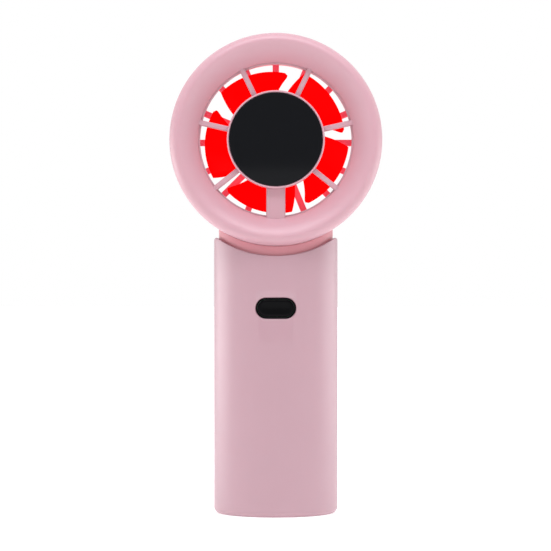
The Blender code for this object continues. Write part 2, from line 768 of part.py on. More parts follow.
def make_button():
    grip_front = oval_prism("grip_outline", GRIP_HALF_WIDTH, GRIP_HALF_DEPTH, (60, 90))
    surround = pill_prism("button_surround", SURROUND_SIZE, (-17.0, -12.0), look="black_gloss")
    boolean(surround, "INTERSECT", grip_front)
    join(surround, pill_prism("surround_flange", FLANGE_SIZE, (-12.5, -11.4)))
    bore = (BUTTON_SIZE[0] + 2 * BUTTON_CLEARANCE, BUTTON_SIZE[1] + 2 * BUTTON_CLEARANCE)
    cut(surround, pill_prism("surround_bore", bore, (-18.0, -8.0)))

    button = pill_prism("power_button", BUTTON_SIZE, (-17.0, -13.5), look="black_gloss")
    boolean(button, "INTERSECT", grip_front)
    spot = (0, BUTTON_Z)
    join(button, cylinder("button_stem", PLUNGER_RADIUS, (-13.7, -13.0), spot, sides=16))

    half = SWITCH_HALF_WIDTH
    switch = block("tact_switch", (-half, half), (-11.9, BOARD_Y[0] - GAP),
                   (BUTTON_Z - half, BUTTON_Z + half), "black_plastic")
    cut(switch, cylinder("switch_well", PLUNGER_RADIUS + 0.35, (-13, -10.5), spot, sides=16))
    cylinder("switch_plunger", PLUNGER_RADIUS, (-12.7, -11.3), spot, look="white_plastic",
             sides=16)


def make_board():
    board = block("circuit_board", (-BOARD_HALF_WIDTH, BOARD_HALF_WIDTH), BOARD_Y, BOARD_Z,
                  "board_green")
    cut(board, posts("board_holes", BOARD_SCREWS, PILOT_RADIUS, (-11, -7)))
    front = BOARD_Y[0] - GAP
    for number, (x, z) in enumerate(BOARD_SCREWS, 1):
        screw(f"board_screw_{number}", (x, front, z), (0, 1, 0), BOARD_SCREW)

    block("control_chip", (-2.5, 2.5), (front - 1.0, front), (55.0, 60.0), "black_plastic")
    block("inductor", (-3.0, 3.0), (front - 2.4, front), (30.0, 36.0), "black_plastic")
    cylinder("capacitor", 2.0, (front - 2.4, front), (6.5, 44.0), look="nickel", sides=16)
    block("indicator_led", (4.2, 5.6), (front - 0.7, front), (BUTTON_Z - 0.7, BUTTON_Z + 0.7),
          "white_plastic")
    block("lead_connector", (-4.0, 4.0), (front - 2.2, front), (79.6, 83.4), "white_plastic")

    mouth = (SOCKET_SIZE[0] - 2 * SOCKET_WALL, SOCKET_SIZE[1] - 2 * SOCKET_WALL)
    shell = pill_prism("usb_c_socket", SOCKET_SIZE, (-3.7, 3.7), look="steel")
    bore = pill_prism("usb_c_bore", mouth, (-3.7, 3.2))
    for thing, z in ((shell, 4.4), (bore, 3.9)):
        place(thing, (0, PORT_Y, z))
    cut(shell, bore)
    block("usb_c_tongue", (-3.2, 3.2), (PORT_Y - 0.35, PORT_Y + 0.35), (1.6, 6.8),
          "black_plastic")


def cradle_outline(radius):
    """The cradle's section from its front left corner round the back to the front right."""
    points = [(-radius, BOARD_Y[1] + GAP)]
    for i in range(13):
        angle = math.pi - math.pi * i / 12
        points.append((radius * math.cos(angle), CELL_Y + radius * math.sin(angle)))
    points.append((radius, BOARD_Y[1] + GAP))
    return points


def make_cell():
    outer = cradle_outline(CRADLE_RADII[1])
    inner = cradle_outline(CRADLE_RADII[0])
    curve = bpy.data.curves.new("cradle_section", "CURVE")
    curve.dimensions = "2D"
    curve.fill_mode = "BOTH"
    low, high = CRADLE_Z
    curve.extrude = (high - low) / 2 * MM
    spline = curve.splines.new("POLY")
    outline = [*outer, *reversed(inner)]
    spline.points.add(len(outline) - 1)
    for point, (x, y) in zip(spline.points, outline):
        point.co = (x * MM, y * MM, 0.0, 1.0)
    spline.use_cyclic_u = True
    section = bpy.data.objects.new("cradle_section", curve)
    CUTTERS.objects.link(section)
    section.location.z = (low + high) / 2 * MM
    bpy.context.view_layer.update()
    solid = group("cradle_solid", [section])
    bm = bmesh.new()
    bm.from_mesh(solid.data)
    bmesh.ops.remove_doubles(bm, verts=bm.verts, dist=0.00001)
    mesh = bpy.data.meshes.new("battery_cradle")
    bm.to_mesh(mesh)
    bm.free()
    bpy.data.objects.remove(solid, do_unlink=True)
    cradle = add_object("battery_cradle", mesh, "black_plastic")

    wall_x = (-CRADLE_RADII[0] - 0.5, CRADLE_RADII[0] + 0.5)
    bottom = block("cradle_bottom", wall_x, (BOARD_Y[1] + GAP, 5.0), (9.4, 13.1))
    top = block("cradle_top", wall_x, (BOARD_Y[1] + GAP, 5.0), (82.3, 85.2))
    join(cradle, bottom, top,
         posts("cradle_posts", BASE_SCREWS, 2.6, (2.4, 13.5), along_y=False, sides=16))
    cut(cradle, posts("board_pilots", BOARD_SCREWS, PILOT_RADIUS, (-9.0, -3.2)),
        posts("post_pilots", BASE_SCREWS, 1.0, (0.0, 9.2), along_y=False))

    low, high = CELL_Z
    profile = [(0.0, high), (3.0, high), (3.0, high - 0.8), (CELL_RADIUS, high - 0.8),
               (CELL_RADIUS, low), (0.0, low)]
    turned("battery_cell", profile, "cell_wrap", 24, (0, CELL_Y, 0), closed=False,
           along_y=False)
    block("positive_tab", (-3.0, 3.0), (-3.4, 5.0), (high + GAP, high + GAP + 0.25), "nickel")
    block("negative_tab", (-3.0, 3.0), (-3.4, 5.0), (low - GAP - 0.25, low - GAP), "nickel")
    block("foam_pad", (-4.0, 4.0), (-8.1, -7.25), (24.0, 70.0), "foam")


def make_leads():
    looks = ("lead_red", "lead_yellow", "lead_black")
    for number, (x, look) in enumerate(zip((-1.35, 0.0, 1.35), looks), 1):
        route = [
            (x, -10.4, 83.8),
            (x, -10.2, 86.0),
            (x, -8.9, 90.0),
            (x, -8.0, HEAD_Z - 38.0),
            (x, -8.0, HEAD_Z - 34.0),
            (x, -9.2, HEAD_Z - 30.5),
            (x, -10.4, HEAD_Z - 27.0),
            (x, -10.6, HEAD_Z - 22.5),
            (x, -10.6, HEAD_Z - 15.5),
        ]
        lead(f"motor_lead_{number}", route, look)
    top = CELL_Z[1] + GAP + 0.25
    bottom = CELL_Z[0] - GAP - 0.25
    lead("battery_lead_positive", [(1.2, -2.0, top + 0.8), (1.2, -5.6, top + 0.8),
                                   (1.2, -7.6, top + 0.6)], "lead_red")
    lead("battery_lead_negative", [(1.2, -2.0, bottom - 0.75), (1.2, -5.6, bottom - 0.75),
                                   (1.2, -7.6, bottom - 0.75)], "lead_black")


make_head()
make_grille()
make_motor()
make_impeller()
make_grip()
make_neck()
make_base()
make_button()
make_board()
make_cell()
make_leads()
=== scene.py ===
"""Looks for the handheld electric fan: fine surfaces, materials, studio light and camera.

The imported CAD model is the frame. Sizes here are in millimetres, from the frame where it
gives them. MM turns them into metres where a mesh is made. -Y is the side that blows air.
"""

import json
import math

import bmesh
import bpy
from mathutils import Matrix, Vector


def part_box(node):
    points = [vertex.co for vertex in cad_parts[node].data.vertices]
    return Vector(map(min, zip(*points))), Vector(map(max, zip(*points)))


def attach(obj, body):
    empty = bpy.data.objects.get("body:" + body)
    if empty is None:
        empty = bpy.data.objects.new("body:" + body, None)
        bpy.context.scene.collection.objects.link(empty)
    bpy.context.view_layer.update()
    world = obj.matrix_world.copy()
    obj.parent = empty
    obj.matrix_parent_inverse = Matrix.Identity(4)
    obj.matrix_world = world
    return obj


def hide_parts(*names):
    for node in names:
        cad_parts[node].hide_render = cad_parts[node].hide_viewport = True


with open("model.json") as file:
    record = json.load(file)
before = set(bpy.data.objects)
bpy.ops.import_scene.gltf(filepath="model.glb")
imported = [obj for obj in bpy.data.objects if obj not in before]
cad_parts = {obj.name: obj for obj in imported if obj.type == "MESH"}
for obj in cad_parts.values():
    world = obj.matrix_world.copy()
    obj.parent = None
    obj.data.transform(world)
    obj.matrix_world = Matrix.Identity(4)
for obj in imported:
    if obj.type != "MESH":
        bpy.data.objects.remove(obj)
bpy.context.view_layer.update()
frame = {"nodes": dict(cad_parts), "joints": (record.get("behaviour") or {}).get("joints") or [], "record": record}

MM = 0.001
ROUND = 160  # sides of the large round pieces
OVAL = 192  # sides of the grip's and the neck's loops
SMALL = 48  # sides of screws and other small round pieces
SIDE_STEPS = 6  # steps down the bezel's side
BEND_STEPS = 20  # steps round a shell's crest, and down the front funnel


def extent(node):
    """Lowest and highest corner of a CAD node, in millimetres."""
    low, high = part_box(node)
    return low / MM, high / MM


# ---------------------------------------------------------------------------
# Driving sizes
# ---------------------------------------------------------------------------

SPIN = next(joint for joint in frame["joints"] if joint["name"] == "impeller_spin")
HEAD_Z = SPIN["pos_m"][2] / MM

GRIP_HALF_WIDTH = extent("grip_sleeve")[1].x
GRIP_HALF_DEPTH = extent("grip_sleeve")[1].y
GRIP_WALL = 1.4
BASE_FILLET = 2.2
BASE_LIP = 2.9
SCOOP_RADIUS = 36.0
SCOOP_LOWEST = 40.6  # how far the scoop's lowest point lies below the rotor axis
SCOOP_CORNER = 2.4  # how far in from the grip's sides the scoop's corners are eased
CORNER_DROP = 1.3
RIM_ROLL = 0.62
STRAIGHT_TOP = 86.0  # below it, the grip's walls are plain and upright
CAP_INSET = GRIP_HALF_WIDTH - extent("base_cap")[1].x
CAP_TOP = extent("base_cap")[1].z
BASE_SCREW = (13.0, 2.0)
BASE_SINK_RADIUS = 2.1
BASE_HOLE_RADIUS = 1.05

BEZEL_RADIUS = extent("front_bezel")[1].x
BEZEL_CREST_Y = extent("front_bezel")[0].y
BEZEL_CREST_RADIUS = 34.2
BEZEL_WIDEST_Y = -13.0
BEZEL_WALL = 1.4
LIP_RADIUS = 27.1
LIP_Y = -11.6
FUNNEL_BEND = (31.2, -17.9)  # the point that the front funnel's curve leans towards
SEAM_RADIUS = 36.6
SEAM_Y = -0.85
SEAM_GAP = 0.3
HOUSING_WALL = 1.4
DUCT_RADII = (26.6, 27.95)  # at its front and at the rear guard
DUCT_FRONT_Y = extent("rear_housing")[0].y
REAR_CREST_Y = extent("rear_housing")[1].y
REAR_CREST_RADIUS = 31.8
REAR_WIDEST_Y = 1.5
INTAKE_BEND_Y = 5.0  # where the intake's wall starts to flare
GUARD_SEAT_RADIUS = 29.6
GUARD_SEAT_Y = 1.6
HOUSING_SCREW_RADIUS = 32.3
HOUSING_SCREW_ANGLES = (45, 135, 225, 315)
SINK_RADIUS = 1.95
SINK_Y = (5.0, 14.0)
WELL_RADIUS = 2.45
WELL_Y = (0.9, 7.7)

ARM_COUNT = 7
ARM_WIDTH = 1.85
WIDE_ARM_WIDTH = 6.7
ARM_Y = (-12.2, -9.4)
ARM_END_RADIUS = 27.9
FOOT_RADII = (25.0, 28.0)
FOOT_Y = (-10.3, -9.1)
SEAT_RADIUS = 28.9
SEAT_Y = (-10.6, -8.8)
WIDE_ARM_FRONT_Y = -12.5
WIDE_ARM_RADII = (16.5, 28.0)
HUB_RADIUS = 17.1
HUB_BORE = 15.6
HUB_Y = (extent("front_grille")[0].y, -9.6)
HUB_FLOOR = (-13.7, -12.3)
PLATE_RADIUS = extent("hub_plate")[1].x
PLATE_GAP = 0.2
LEAD_CHANNEL = 4.4
LEAD_CHANNEL_RADII = (14.6, 31.0)
LEAD_CHANNEL_Y = (-11.4, -8.0)

RIB_COUNT = 16
RIB_WIDTH = 2.3
GUARD_Y = (extent("rear_guard")[0].y, extent("rear_guard")[1].y)
GUARD_HUB_RADIUS = 11.0

BLADE_COUNT = 5
BLADE_THICKNESS = 0.9
ROTOR_HUB_RADIUS = 16.2
ROTOR_HUB_WALL = 1.4
ROTOR_HUB_Y = (-8.5, 0.6)
ROTOR_FLOOR_Y = -0.8
ROTOR_BORE = 1.1
ROTOR_CHAMFER = 1.2
BLADE_ROOT_RADIUS = ROTOR_HUB_RADIUS - 0.9
BLADE_CAMBER = 0.8
CHORD_STEPS = 28
SPAN_STEPS = 14
TIP_ROUNDING = 0.20  # the share of the span over which the leading corner is rounded
TIP_PULL = 0.07  # how far it is pulled back, as a share of the chord
TIP_THINNING = 0.45
LEADING_EDGE = (19.5, 6.0)  # degrees at the hub and at the tip
TRAILING_EDGE = (79.4, 66.9)
TIP_RADIUS = (24.6, 25.7)  # at the leading and at the trailing edge
BLADE_Y = (-2.2, -8.2)

NECK_HALF_WIDTH = extent("neck_collar")[1].x
NECK_HALF_DEPTH = extent("neck_collar")[1].y
NECK_BOTTOM_Z = extent("neck_collar")[0].z
NECK_WALL = 2.2
NECK_TOP_RADIUS = 35.6
NECK_GAP = 0.04  # between the head and the neck's saddle
NECK_STEPS = 16

BUTTON_Z = (extent("power_button")[0].z + extent("power_button")[1].z) / 2
SURROUND_SIZE = (13.9, 7.1)
BUTTON_SIZE = (12.6, 5.8)
STEM_RADIUS = 1.5
PILL_ARC_STEPS = 20
PILL_FLAT_STEPS = 14
SURROUND_BORE = (13.0, 6.2)
FLANGE_SIZE = (16.4, 9.6)
FLANGE_THICKNESS = 0.65
PORT = extent("usb_c_socket")
CONTACT_COUNT = 12


# ---------------------------------------------------------------------------
# Materials
# ---------------------------------------------------------------------------


NOISE_RANGE = (0.3, 0.7)  # where nearly all of a noise texture's values lie
COAT_ROUGHNESS = 0.1
SUBSURFACE_RADIUS = (0.0012, 0.0005, 0.0005)  # metres: red goes furthest into the plastic


def link(tree, source, output, target, socket):
    tree.links.new(source.outputs[output], target.inputs[socket])


def noise(tree, scale, detail=4.0, roughness=0.5):
    """A noise texture in the object's own coordinates, so it moves with its piece."""
    coordinates = tree.nodes.new("ShaderNodeTexCoord")
    texture = tree.nodes.new("ShaderNodeTexNoise")
    texture.inputs["Scale"].default_value = scale
    texture.inputs["Detail"].default_value = detail
    texture.inputs["Roughness"].default_value = roughness
    link(tree, coordinates, "Object", texture, "Vector")
    return texture


def ramp(tree, texture, low, high):
    """A colour ramp from low to high over a texture's value."""
    made = tree.nodes.new("ShaderNodeValToRGB")
    made.color_ramp.elements[0].position = NOISE_RANGE[0]
    made.color_ramp.elements[1].position = NOISE_RANGE[1]
    made.color_ramp.elements[0].color = (*low, 1.0)
    made.color_ramp.elements[1].color = (*high, 1.0)
    link(tree, texture, "Fac", made, "Fac")
    return made


def span(tree, texture, low, high):
    """The texture's value mapped to a range of numbers."""
    made = tree.nodes.new("ShaderNodeMapRange")
    made.inputs["From Min"].default_value = NOISE_RANGE[0]
    made.inputs["From Max"].default_value = NOISE_RANGE[1]
    made.inputs["To Min"].default_value = low
    made.inputs["To Max"].default_value = high
    link(tree, texture, "Fac", made, "Value")
    return made


def shade(colour, factor):
    return tuple(min(1.0, channel * factor) for channel in colour)


def surface(name, colour, roughness, metallic=0.0, vary=0.03, grain=2600.0, bump=0.004,
            specular=0.5, coat=0.0, subsurface=0.0, glow=0.0, tint=(1.0, 1.0, 1.0)):
    """A moulded or machined surface: soft mottling, uneven gloss and a fine grain.

    vary is how far the mottling strays from the colour, and bump is the height of the grain
    in millimetres. glow is light of the piece's own colour that the surface gives off. On
    the fan's pieces it is painted light: a glow that stands in for light through the plastic
    and red light from the blades. On the floor it keeps the floor evenly white. tint colours
    the reflections.
    """
    made = bpy.data.materials.new(name)
    made.use_nodes = True
    tree = made.node_tree
    shader = tree.nodes["Principled BSDF"]
    shader.inputs["Metallic"].default_value = metallic
    shader.inputs["Specular IOR Level"].default_value = specular
    shader.inputs["Coat Weight"].default_value = coat
    shader.inputs["Coat Roughness"].default_value = COAT_ROUGHNESS
    shader.inputs["Subsurface Weight"].default_value = subsurface
    shader.inputs["Subsurface Radius"].default_value = SUBSURFACE_RADIUS
    shader.inputs["Subsurface Scale"].default_value = 1.0
    shader.inputs["Specular Tint"].default_value = (*tint, 1.0)
    shader.inputs["Emission Color"].default_value = (*colour, 1.0)
    shader.inputs["Emission Strength"].default_value = glow

    mottle = noise(tree, 60.0, 3.0)
    colours = ramp(tree, mottle, shade(colour, 1 - vary), shade(colour, 1 + vary))
    link(tree, colours, "Color", shader, "Base Color")

    gloss = noise(tree, 420.0, 5.0, 0.6)
    uneven = span(tree, gloss, roughness * 0.88, roughness * 1.12)
    link(tree, uneven, "Result", shader, "Roughness")

    fine = noise(tree, grain, 3.0, 0.55)
    relief = tree.nodes.new("ShaderNodeBump")
    relief.inputs["Strength"].default_value = 0.6
    relief.inputs["Distance"].default_value = bump * MM
    link(tree, fine, "Fac", relief, "Height")
    link(tree, relief, "Normal", shader, "Normal")
    return made


def brushed(name, colour, roughness, stretch=(1.0, 30.0, 1.0), bump=0.003):
    """Metal with fine drawn lines along one axis."""
    made = surface(name, colour, roughness, metallic=1.0, vary=0.05, bump=0.0)
    tree = made.node_tree
    shader = tree.nodes["Principled BSDF"]
    coordinates = tree.nodes.new("ShaderNodeTexCoord")
    mapping = tree.nodes.new("ShaderNodeMapping")
    mapping.inputs["Scale"].default_value = stretch
    lines = tree.nodes.new("ShaderNodeTexNoise")
    lines.inputs["Scale"].default_value = 900.0
    lines.inputs["Detail"].default_value = 4.0
    link(tree, coordinates, "Object", mapping, "Vector")
    link(tree, mapping, "Vector", lines, "Vector")
    relief = tree.nodes.new("ShaderNodeBump")
    relief.inputs["Strength"].default_value = 0.5
    relief.inputs["Distance"].default_value = bump * MM
    link(tree, lines, "Fac", relief, "Height")
    link(tree, relief, "Normal", shader, "Normal")
    return made


def laminate(name):
    """Green lacquer over a woven glass board, with brighter copper areas under it."""
    made = surface(name, (0.012, 0.15, 0.06), 0.35, vary=0.10, bump=0.002, coat=0.4)
    tree = made.node_tree
    shader = tree.nodes["Principled BSDF"]
    coordinates = tree.nodes.new("ShaderNodeTexCoord")
    tracks = tree.nodes.new("ShaderNodeTexVoronoi")
    tracks.feature = "DISTANCE_TO_EDGE"
    tracks.inputs["Scale"].default_value = 260.0
    link(tree, coordinates, "Object", tracks, "Vector")
    colours = tree.nodes.new("ShaderNodeValToRGB")
    colours.color_ramp.elements[0].position = 0.05
    colours.color_ramp.elements[1].position = 0.09
    colours.color_ramp.elements[0].color = (0.03, 0.24, 0.10, 1.0)
    colours.color_ramp.elements[1].color = (0.010, 0.13, 0.05, 1.0)
    link(tree, tracks, "Distance", colours, "Fac")
    link(tree, colours, "Color", shader, "Base Color")
    return made


def wound(name, colour):
    """Enamelled wire laid side by side."""
    made = surface(name, colour, 0.30, metallic=1.0, vary=0.10, bump=0.0)
    tree = made.node_tree
    shader = tree.nodes["Principled BSDF"]
    coordinates = tree.nodes.new("ShaderNodeTexCoord")
    turns = tree.nodes.new("ShaderNodeTexWave")
    turns.wave_type = "BANDS"
    turns.bands_direction = "DIAGONAL"
    turns.inputs["Scale"].default_value = 900.0
    turns.inputs["Distortion"].default_value = 0.4
    link(tree, coordinates, "Object", turns, "Vector")
    relief = tree.nodes.new("ShaderNodeBump")
    relief.inputs["Strength"].default_value = 0.8
    relief.inputs["Distance"].default_value = 0.05 * MM
    link(tree, turns, "Fac", relief, "Height")
    link(tree, relief, "Normal", shader, "Normal")
    return made


LOOKS = {
    "pink": surface("pink_satin", (0.408, 0.236, 0.276), 0.40, vary=0.012, specular=1.0,
                    subsurface=0.12),
    # painted light: the head is a redder copy of the grip's pink, standing in for red light thrown from the
    # blades, with a little painted glow
    "head": surface("head_satin_painted_red_bounce", (0.480, 0.272, 0.314), 0.42, vary=0.012, specular=0.55,
                    subsurface=0.12, glow=0.08),
    # painted light: the rear guard's deep rose and its glow stand in for the red light that the blades throw onto
    # the ribs
    "rose": surface("rose_satin_painted_red_light", (0.86, 0.135, 0.205), 0.42, vary=0.03, subsurface=0.10,
                    glow=0.20),
    # painted shade and red bounce light: the neck is the grip's pink made redder, for where it sits under the
    # head, with a little painted glow
    "neck": surface("neck_satin_painted_shade", (0.56, 0.215, 0.250), 0.44, vary=0.02, specular=1.0,
                    subsurface=0.15, glow=0.06),
    # the blades' glow is painted light, standing in for the light that shines through the red plastic
    "red_clear": surface("red_tinted", (1.0, 0.0004, 0.0008), 0.30, vary=0.01, specular=0.10,
                         bump=0.002, glow=0.45, tint=(1.0, 0.05, 0.05)),
    "black_gloss": surface("black_gloss", (0.0040, 0.0044, 0.0056), 0.10, vary=0.04,
                           grain=1400.0, bump=0.0006, specular=0.12),
    "button": surface("button_black", (0.0022, 0.0022, 0.0026), 0.14, vary=0.04, grain=1400.0,
                      bump=0.0006, specular=0.07),
    "black_plastic": surface("black_matte", (0.02, 0.02, 0.022), 0.45, vary=0.08, bump=0.008),
    "white_plastic": surface("white_moulded", (0.75, 0.75, 0.71), 0.42, vary=0.03),
    "board": laminate("board_lacquer"),
    "steel": brushed("bright_steel", (0.58, 0.58, 0.57), 0.28),
    "lamination": brushed("stamped_steel", (0.32, 0.32, 0.33), 0.42, (1.0, 60.0, 1.0), 0.02),
    "brass": brushed("turned_brass", (0.72, 0.52, 0.22), 0.27),
    "copper": wound("enamelled_wire", (0.72, 0.30, 0.13)),
    "magnet": surface("ferrite", (0.05, 0.05, 0.052), 0.55, vary=0.15, bump=0.015),
    "cell_wrap": surface("cell_wrap", (0.05, 0.22, 0.42), 0.32, vary=0.03, coat=0.3),
    "foam": surface("closed_foam", (0.06, 0.06, 0.065), 0.90, vary=0.25, grain=900.0, bump=0.08),
    "lead_red": surface("lead_red", (0.55, 0.02, 0.02), 0.40, vary=0.05),
    "lead_black": surface("lead_black", (0.02, 0.02, 0.02), 0.40, vary=0.05),
    "lead_yellow": surface("lead_yellow", (0.75, 0.55, 0.04), 0.40, vary=0.05),
}


# ---------------------------------------------------------------------------
# Mesh tools
# ---------------------------------------------------------------------------

SAME_POINT = 0.0005  # corners nearer than this are one
CUTTER_TWIST = 0.04  # radians: keeps a cutter's corners off the edges that it cuts
CLEAR_OF_LOOP = 0.98  # share of an offset's distance that its points keep from the outline


def add(name, bm):
    """A bmesh in millimetres as an object in metres, with its faces turned outwards."""
    bmesh.ops.recalc_face_normals(bm, faces=bm.faces)
    bmesh.ops.scale(bm, vec=(MM, MM, MM), verts=bm.verts)
    mesh = bpy.data.meshes.new(name)
    bm.to_mesh(mesh)
    bm.free()
    thing = bpy.data.objects.new(name, mesh)
    bpy.context.scene.collection.objects.link(thing)
    return thing


def skin(name, rows, wrap=False, bm=None):
    """A surface through rows of points, each row a closed loop that may shrink to a point.

    With wrap, the last row joins the first. A bmesh passed in is filled and given back, and
    otherwise the surface becomes an object.
    """
    alone = bm is None
    bm = bm or bmesh.new()
    loops = [[bm.verts.new(point) for point in row] for row in rows]
    pairs = list(zip(loops, loops[1:]))
    if wrap:
        pairs.append((loops[-1], loops[0]))
    count = len(loops[0])
    for first, second in pairs:
        for i in range(count):
            j = (i + 1) % count
            bm.faces.new((first[i], first[j], second[j], second[i]))
    corners = [vert for loop in loops for vert in loop]
    bmesh.ops.remove_doubles(bm, verts=corners, dist=SAME_POINT)
    return add(name, bm) if alone else bm


def turned_rows(profile, sides=ROUND, centre=None):
    """Rows of a shape turned about the rotor axis, from (radius, y) points."""
    x, z = centre or (0.0, HEAD_Z)
    rows = []
    for radius, y in profile:
        row = []
        for i in range(sides):
            angle = 2 * math.pi * i / sides
            row.append(Vector((x + radius * math.cos(angle), y, z + radius * math.sin(angle))))
        rows.append(row)
    return rows


def softened(points, radius, closed=True, steps=4, turn=25.0):
    """The outline with each corner that turns by more than turn degrees rounded off."""
    made = []
    count = len(points)
    for i, point in enumerate(points):
        here = Vector(point)
        if not closed and i in (0, count - 1):
            made.append(tuple(here))
            continue
        before = Vector(points[i - 1]) - here
        after = Vector(points[(i + 1) % count]) - here
        if math.pi - before.angle(after) < math.radians(turn):
            made.append(tuple(here))
            continue
        start = here + before.normalized() * min(radius, before.length * 0.45)
        end = here + after.normalized() * min(radius, after.length * 0.45)
        for step in range(steps + 1):
            t = step / steps
            made.append(tuple(start * (1 - t) ** 2 + here * 2 * t * (1 - t) + end * t**2))
    return made


def offset(points, distance):
    """An open outline moved sideways, to its right as it runs.

    Where the outline bends more tightly than the distance, the points that would form a
    loop are left out.
    """
    made = []
    clear = distance * CLEAR_OF_LOOP
    for i, point in enumerate(points):
        before = Vector(points[max(i - 1, 0)])
        after = Vector(points[min(i + 1, len(points) - 1)])
        along = (after - before).normalized()
        moved = Vector((point[0] + along.y * distance, point[1] - along.x * distance))
        if all((moved - Vector(other)).length > clear for other in points):
            made.append(tuple(moved))
    return made


def quarter(centre, radii, start, end, steps=16):
    """Points on an ellipse, from one angle to another."""
    points = []
    for i in range(steps + 1):
        angle = math.radians(start + (end - start) * i / steps)
        points.append(
            (centre[0] + radii[0] * math.cos(angle), centre[1] + radii[1] * math.sin(angle))
        )
    return points


def rounded_block(name, x, y, z, radius, segments=3):
    """A box between the values given for each axis, with its edges rolled."""
    bm = bmesh.new()
    bmesh.ops.create_cube(bm, size=1.0)
    size = (x[1] - x[0], y[1] - y[0], z[1] - z[0])
    bmesh.ops.scale(bm, vec=size, verts=bm.verts)
    middle = ((x[0] + x[1]) / 2, (y[0] + y[1]) / 2, (z[0] + z[1]) / 2)
    bmesh.ops.translate(bm, vec=middle, verts=bm.verts)
    if radius:
        bmesh.ops.bevel(bm, geom=list(bm.edges), offset=radius, segments=segments,
                        profile=0.5, affect="EDGES")
    return add(name, bm)


def rod(name, radius, ends, at, along="Y"):
    """A plain round cutter between two ends, along Y at (x, z) or along Z at (x, y)."""
    bm = bmesh.new()
    bmesh.ops.create_cone(bm, cap_ends=True, segments=SMALL, radius1=radius, radius2=radius,
                          depth=ends[1] - ends[0])
    bmesh.ops.rotate(bm, matrix=Matrix.Rotation(CUTTER_TWIST, 3, "Z"), verts=bm.verts)
    if along == "Y":
        bmesh.ops.rotate(bm, matrix=Matrix.Rotation(math.pi / 2, 3, "X"), verts=bm.verts)
        shift = (at[0], (ends[0] + ends[1]) / 2, at[1])
    else:
        shift = (at[0], at[1], (ends[0] + ends[1]) / 2)
    bmesh.ops.translate(bm, vec=shift, verts=bm.verts)
    return add(name, bm)


def carve(thing, *cutters):
    """Cut the other objects out of this one and drop them."""
    for cutter in cutters:
        step = thing.modifiers.new("carve", "BOOLEAN")
        step.operation = "DIFFERENCE"
        step.solver = "EXACT"
        step.object = cutter
    return settle(thing, cutters)


def settle(thing, spent=()):
    """Apply an object's modifiers, and remove the objects that they used."""
    depsgraph = bpy.context.evaluated_depsgraph_get()
    mesh = bpy.data.meshes.new_from_object(thing.evaluated_get(depsgraph))
    thing.modifiers.clear()
    thing.data = mesh
    for other in spent:
        bpy.data.objects.remove(other, do_unlink=True)
    return thing


def gather(name, things):
    """Several objects as one, without changing their shapes."""
    bm = bmesh.new()
    for thing in things:
        bm.from_mesh(thing.data)
        bpy.data.objects.remove(thing, do_unlink=True)
    mesh = bpy.data.meshes.new(name)
    bm.to_mesh(mesh)
    bm.free()
    made = bpy.data.objects.new(name, mesh)
    bpy.context.scene.collection.objects.link(made)
    return made


def turn_about_head(thing, degrees):
    """Turn an object's mesh about the rotor axis, anticlockwise seen from the front."""
    centre = Matrix.Translation((0, 0, HEAD_Z * MM))
    swing = Matrix.Rotation(-math.radians(degrees), 4, "Y")
    thing.data.transform(centre @ swing @ centre.inverted())
    return thing


def show(thing, look, body, *nodes, slot=None, sharp=38):
    """Give a piece its material, its body and the CAD nodes that it stands for.

    slot is the record's material slot, where it isn't called the same as the look. It is not used.
    """
    thing.data.materials.clear()
    thing.data.materials.append(LOOKS[look])
    thing.data.shade_smooth()
    thing.data.set_sharp_from_angle(angle=math.radians(sharp))
    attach(thing, body)
    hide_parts(*nodes)
    return thing


# ---------------------------------------------------------------------------
# Head shell
# ---------------------------------------------------------------------------


def bezel_outline():
    """The bezel's outer surface, from the seam over the crest to the inner lip."""
    outer = quarter((BEZEL_CREST_RADIUS, BEZEL_WIDEST_Y),
                    (BEZEL_RADIUS - BEZEL_CREST_RADIUS, BEZEL_WIDEST_Y - BEZEL_CREST_Y), 0, -90,
                    BEND_STEPS)
    funnel = []
    crest, lip = Vector((BEZEL_CREST_RADIUS, BEZEL_CREST_Y)), Vector((LIP_RADIUS, LIP_Y))
    for i in range(1, BEND_STEPS + 1):
        t = i / BEND_STEPS
        point = crest * (1 - t) ** 2 + Vector(FUNNEL_BEND) * 2 * t * (1 - t) + lip * t**2
        funnel.append(tuple(point))
    side = []
    start = (SEAM_RADIUS, SEAM_Y - SEAM_GAP / 2)
    for i in range(SIDE_STEPS):
        t = i / SIDE_STEPS
        radius = start[0] + (BEZEL_RADIUS - start[0]) * math.sin(t * math.pi / 2)
        side.append((radius, start[1] + (BEZEL_WIDEST_Y - start[1]) * t))
    return [*side, *outer, *funnel]


def housing_outline():
    """The rear housing's outer surface, from the rear crest to the seam."""
    crest = quarter((REAR_CREST_RADIUS, REAR_WIDEST_Y),
                    (SEAM_RADIUS - REAR_CREST_RADIUS, REAR_CREST_Y - REAR_WIDEST_Y), 90, 0,
                    BEND_STEPS)
    return [*crest, (SEAM_RADIUS, SEAM_Y + SEAM_GAP / 2)]


def make_bezel():
    outside = bezel_outline()
    inside = offset(outside, BEZEL_WALL)
    profile = softened([*outside, *reversed(inside)], 0.3, turn=40)
    show(skin("bezel_shell", turned_rows(profile), wrap=True), "head", "body", "front_bezel",
         slot="pink")


